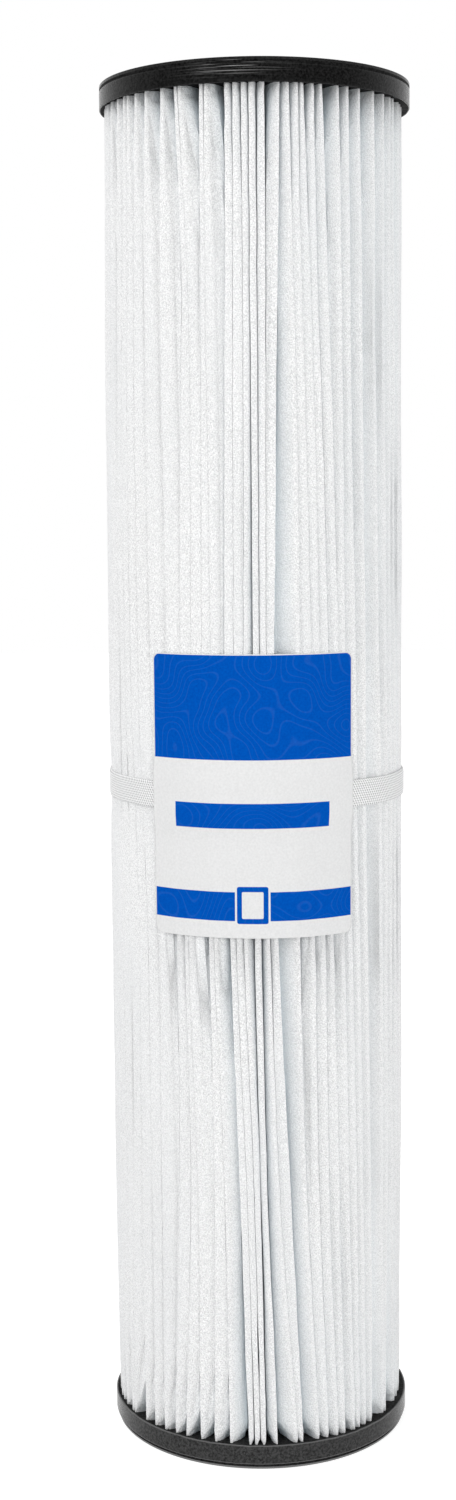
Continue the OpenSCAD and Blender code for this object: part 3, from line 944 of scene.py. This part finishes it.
def label_finish():
    """Paper with one blue ink, which covers each field and leaves the clearing round the frame."""
    f = Finish("label_paper", Roughness=0.5, Specular_IOR_Level=0.01)
    flat = f.add("ShaderNodeSeparateXYZ", {"Vector": f.place(source="UV")})
    x, y = flat.outputs["X"], flat.outputs["Y"]
    header = field(f, x, y, (0, 32.2), (LABEL_W - 0.8, 37.4), 2.4)
    header = f.math("MAXIMUM", header, field(f, x, y, (0, 20), (LABEL_W - 0.8, 13.2)))
    bar = field(f, x, y, (-0.2, -6.7), (57.2, 9.1))
    stripe = field(f, x, y, (0, -39.7), (LABEL_W - 0.8, 10.6))
    clearing = field(f, x, y, (0, -39.2), (12.8, 15), 1.0)
    frame_outside = field(f, x, y, (0, -39.2), (11.4, 13.6), 0.8)
    frame_inside = field(f, x, y, (0, -39.2), (7.8, 9.8), 0.5)
    stripe = f.math("SUBTRACT", stripe, clearing, True)
    ink = f.math("MAXIMUM", f.math("MAXIMUM", header, bar), stripe)
    ink = f.math("MAXIMUM", ink, f.math("SUBTRACT", frame_outside, frame_inside, True))
    # Faint rings drift across the blue, like ripples on water
    drift = f.noise(f.place((0.03, 0.03, 0.03), source="UV"), detail=1.0)
    rings = f.math("SINE", f.math("MULTIPLY", drift, 190.0))
    shine = f.math("MULTIPLY", f.spread(rings, 0.7, 1.0), 0.03)
    mottle = f.spread(f.noise(f.place((1300, 1300, 1300)), detail=2.0), 0.3, 0.7)
    blue = f.mix(mottle, (0.0, 0.068, 0.385, 1), (0.0, 0.083, 0.435, 1))
    blue = f.mix(shine, blue, (0.25, 0.45, 0.85, 1))
    paper = f.mix(mottle, grey(0.665, 0.001), grey(0.725, 0.001))
    f.feed("Base Color", f.mix(ink, paper, blue))
    f.feed("Normal", f.bump(f.noise(f.place((160, 160, 160)), detail=2.0), 0.12))
    return f.material


PAPER = label_finish()

# %% Build the label


def build_label():
    """A grid over the label's flat rectangle: x from side to side, y up. Near the top and bottom
    the rows shorten to make the round corners. The radius is the pleat tips' plus a rise over the
    band, smoothed at the band's edges, less a shallow dip between pleats. Solidify then gives
    the paper its thickness, inwards from there."""
    corner = 3.0
    ease = corner * (1 - np.cos(np.linspace(0, np.pi / 2, 9)))
    y = np.unique(np.concatenate([np.linspace(-LABEL_H / 2, LABEL_H / 2, 90), LABEL_H / 2 - ease,
                                  ease - LABEL_H / 2]).round(4))[:, None]
    from_end = np.clip(corner - (LABEL_H / 2 - np.abs(y)), 0, corner)
    inset = corner - np.sqrt(corner**2 - from_end**2)
    share = np.linspace(-1, 1, 150)[None, :]
    x = share * (LABEL_W / 2 - inset)
    z = LABEL_MID + y
    angle = LABEL_TURN + np.degrees(x / (BAND_R + 0.2))
    half_band = (BAND_HIGH - BAND_LOW) / 2
    off_band = np.abs(z - (BAND_LOW + BAND_HIGH) / 2) - half_band
    climb = np.clip(1 - off_band / 11, 0, 1)
    rise = (BAND_T + 0.1) * climb**2 * (3 - 2 * climb)
    tips = through(TIP_HEIGHTS, front, z[:, 0])
    nearest = np.abs(angle[None] - tips[:, :, None]).min(axis=0)
    dip = 0.12 * (1 - np.exp(-((nearest / 2.2) ** 2))) * (1 - climb * 0.7)
    r = BAND_R + LABEL_T + rise - dip + bulge(angle, z)
    points = polar(r, angle, z)
    rows, cols = points.shape[:2]
    uv = np.stack(np.broadcast_arrays(x, y), axis=-1)
    piece = make_piece("wrap_label", points, grid_faces(rows, cols), PAPER, uv=uv, sharp=60)
    solid = piece.modifiers.new("thickness", "SOLIDIFY")
    solid.thickness = LABEL_T * MM
    solid.offset = -1
    solid.use_even_offset = False
    return piece


label = build_label()
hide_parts("label")

# %% [markdown]
# ## The core and the glue under the lap
#
# The core is moulded polypropylene in two halves with a coupling ring between them. Its solids
# are right as they are, so only the finish is new: a smooth milky plastic with faint flow marks.
# The glue in the band's lap keeps its solid too.

# %% Core finish


def core_finish():
    """Milky plastic with faint flow marks in its colour, gloss and surface."""
    f = Finish("core_polypropylene", Roughness=0.4, Specular_IOR_Level=0.45)
    flow = f.noise(f.place((90, 90, 25)), detail=3.0, distortion=0.4)
    f.feed("Base Color", f.mix(flow, grey(0.74, 0.004), grey(0.81, 0.004)))
    f.feed("Roughness", f.spread(flow, 0.3, 0.7, 0.34, 0.46))
    f.feed("Normal", f.bump(flow, 0.08))
    return f.material


CORE = core_finish()
for node, material in (("core_lower", CORE), ("core_upper", CORE), ("core_coupling", CORE),
                       ("band_glue", GLUE)):
    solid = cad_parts[node]
    solid.data.materials.clear()
    solid.data.materials.append(material)
print("core and glue dressed")

# %% [markdown]
# ## The studio
#
# The cartridge stands on a white floor in a white room. Two things must not get mixed up there:
# how bright the backdrop looks, and how much light falls on the object. Light Path tells them
# apart. What the camera or a reflection sees is plain white, and what lights the object is set
# to a level at which a colour renders about as it is written. A broad soft lamp high at the left
# makes the left of each pleat a little brighter than its right. A second one, low at the right,
# lifts the lower pleats and the inside of the bottom cap.

# %% World and floor
# The strength of the light on the object, and what a reflection finds in front of it
ROOM_LIGHT, DIM_ROOM = 0.70, 0.08


def seen_directly(nodes, links):
    """1 for camera, glossy and transmission rays, and 0 for light that falls on things."""
    path = nodes.new("ShaderNodeLightPath")
    total = path.outputs["Is Camera Ray"]
    for ray in ("Is Glossy Ray", "Is Transmission Ray"):
        join = nodes.new("ShaderNodeMath")
        join.operation = "MAXIMUM"
        links.new(total, join.inputs[0])
        links.new(path.outputs[ray], join.inputs[1])
        total = join.outputs["Value"]
    return total


def build_world():
    """Even light on the object, and a white backdrop for the camera and for reflections."""
    world = bpy.data.worlds.new("studio")
    bpy.context.scene.world = world
    world.use_nodes = True
    nodes, links = world.node_tree.nodes, world.node_tree.links
    nodes.clear()
    light, shown = nodes.new("ShaderNodeBackground"), nodes.new("ShaderNodeBackground")
    light.inputs["Color"].default_value = (0.98, 0.99, 1.0, 1)
    light.inputs["Strength"].default_value = ROOM_LIGHT
    shown.inputs["Color"].default_value = (1, 1, 1, 1)
    # A reflection finds the white backdrop behind and beside the object, and a dim room in front
    way = nodes.new("ShaderNodeSeparateXYZ")
    links.new(nodes.new("ShaderNodeTexCoord").outputs["Generated"], way.inputs[0])
    room = nodes.new("ShaderNodeMapRange")
    for socket, value in (("From Min", -0.35), ("From Max", 0.35), ("To Min", DIM_ROOM)):
        room.inputs[socket].default_value = value
    links.new(way.outputs["Y"], room.inputs["Value"])
    level = nodes.new("ShaderNodeMath")
    level.operation = "MAXIMUM"
    links.new(room.outputs["Result"], level.inputs[0])
    links.new(nodes.new("ShaderNodeLightPath").outputs["Is Camera Ray"], level.inputs[1])
    links.new(level.outputs["Value"], shown.inputs["Strength"])
    mix, out = nodes.new("ShaderNodeMixShader"), nodes.new("ShaderNodeOutputWorld")
    links.new(seen_directly(nodes, links), mix.inputs[0])
    links.new(light.outputs[0], mix.inputs[1])
    links.new(shown.outputs[0], mix.inputs[2])
    links.new(mix.outputs[0], out.inputs["Surface"])


def build_floor():
    """A wide square under the cap. Seen directly it is mostly its own white, with enough of the
    lit surface left in it to keep the object's shadow."""
    f = Finish("floor_white", Roughness=0.9, Specular_IOR_Level=0.0)
    f.shader.inputs["Base Color"].default_value = grey(0.88)
    nodes, links = f.nodes, f.material.node_tree.links
    glow = nodes.new("ShaderNodeEmission")
    glow.inputs["Strength"].default_value = 0.8
    dim = nodes.new("ShaderNodeBsdfDiffuse")
    dim.inputs["Color"].default_value = grey(0.42)
    both, mix = nodes.new("ShaderNodeAddShader"), nodes.new("ShaderNodeMixShader")
    links.new(glow.outputs[0], both.inputs[0])
    links.new(dim.outputs[0], both.inputs[1])
    links.new(seen_directly(nodes, links), mix.inputs[0])
    links.new(f.shader.outputs[0], mix.inputs[1])
    links.new(both.outputs[0], mix.inputs[2])
    links.new(mix.outputs[0], nodes["Material Output"].inputs["Surface"])
    size = 4000
    corners = np.array([(-size, -size, 0), (size, -size, 0), (size, size, 0), (-size, size, 0)])
    mesh = bpy.data.meshes.new("floor")
    mesh.from_pydata((corners * MM).tolist(), [], [(0, 1, 2, 3)])
    mesh.materials.append(f.material)
    floor = bpy.data.objects.new("floor", mesh)
    bpy.context.collection.objects.link(floor)


build_world()
build_floor()

# %% Lamps


def soft_lamp(name, place, target, size, power):
    """A square lamp at place, facing target."""
    lamp = bpy.data.objects.new(name, bpy.data.lights.new(name, "AREA"))
    lamp.data.size = size
    lamp.data.energy = power
    lamp.data.color = (1.0, 0.99, 0.98)
    lamp.visible_glossy = False
    lamp.location = place
    facing = Vector(target) - Vector(place)
    lamp.rotation_euler = facing.to_track_quat("-Z", "Y").to_euler()
    bpy.context.collection.objects.link(lamp)


soft_lamp("key", (-1.6, -1.15, 1.65), (0, 0, 0.2), 2.0, 27.5)
soft_lamp("low_fill", (1.7, -1.7, 0.1), (0, 0, 0.1), 2.0, 37)
print("room and lamps set")

# %% [markdown]
# ## Look of the colours
#
# The Standard view shows colours as they are written.

# %% Finish
bpy.context.scene.view_settings.view_transform = "Standard"
